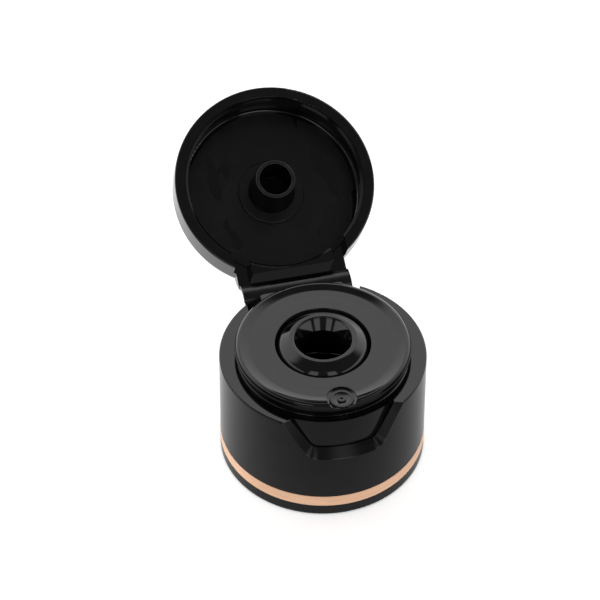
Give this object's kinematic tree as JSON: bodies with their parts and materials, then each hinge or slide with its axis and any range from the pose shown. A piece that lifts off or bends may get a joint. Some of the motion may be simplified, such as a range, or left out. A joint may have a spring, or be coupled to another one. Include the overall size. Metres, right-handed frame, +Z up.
{
  "type": "flip top cap",
  "caption": "Screw-on flip top cap: a round skirted base with a ringed spout and thumb recess, and a cup lid with a sealing plug on a folding strap hinge.",
  "frame": {"origin": "centre of the neck bore at the foot of the skirt", "axes": "+Z up along the neck axis towards the spout, -Y towards the thumb recess, +Y towards the hinge, +X to the right seen from the recess"},
  "size_m": [0.031, 0.0631, 0.0324],
  "materials": {
    "black_gloss": "moulded gloss black, faintly rippled",
    "foil": "hot-stamped rose-gold foil, bright"
  },
  "bodies": {
    "base": {"base": "black_gloss", "foil_band": "foil"},
    "strap_lower": {"strap_lower": "black_gloss"},
    "strap_upper": {"strap_upper": "black_gloss"},
    "lid": {"lid": "black_gloss"}
  },
  "joints": [
    {"name": "strap_root_hinge", "type": "hinge", "parent": "base", "child": "strap_lower", "pos_m": [0, 0.01475, 0.0146], "axis": [-1, 0, 0], "range_deg": [-37.85, 7.15]},
    {"name": "strap_middle_hinge", "type": "hinge", "parent": "strap_lower", "child": "strap_upper", "pos_m": [0, 0.01677, 0.01721], "axis": [-1, 0, 0], "range_deg": [-75.7, 14.3]},
    {"name": "lid_hinge", "type": "hinge", "parent": "strap_upper", "child": "lid", "pos_m": [0, 0.0198, 0.01589], "axis": [-1, 0, 0], "range_deg": [-37.85, 7.15]}
  ],
  "couplings": [
    {"joint": "strap_middle_hinge", "follows": "strap_root_hinge", "ratio": 2},
    {"joint": "lid_hinge", "follows": "strap_root_hinge", "ratio": 1}
  ]
}
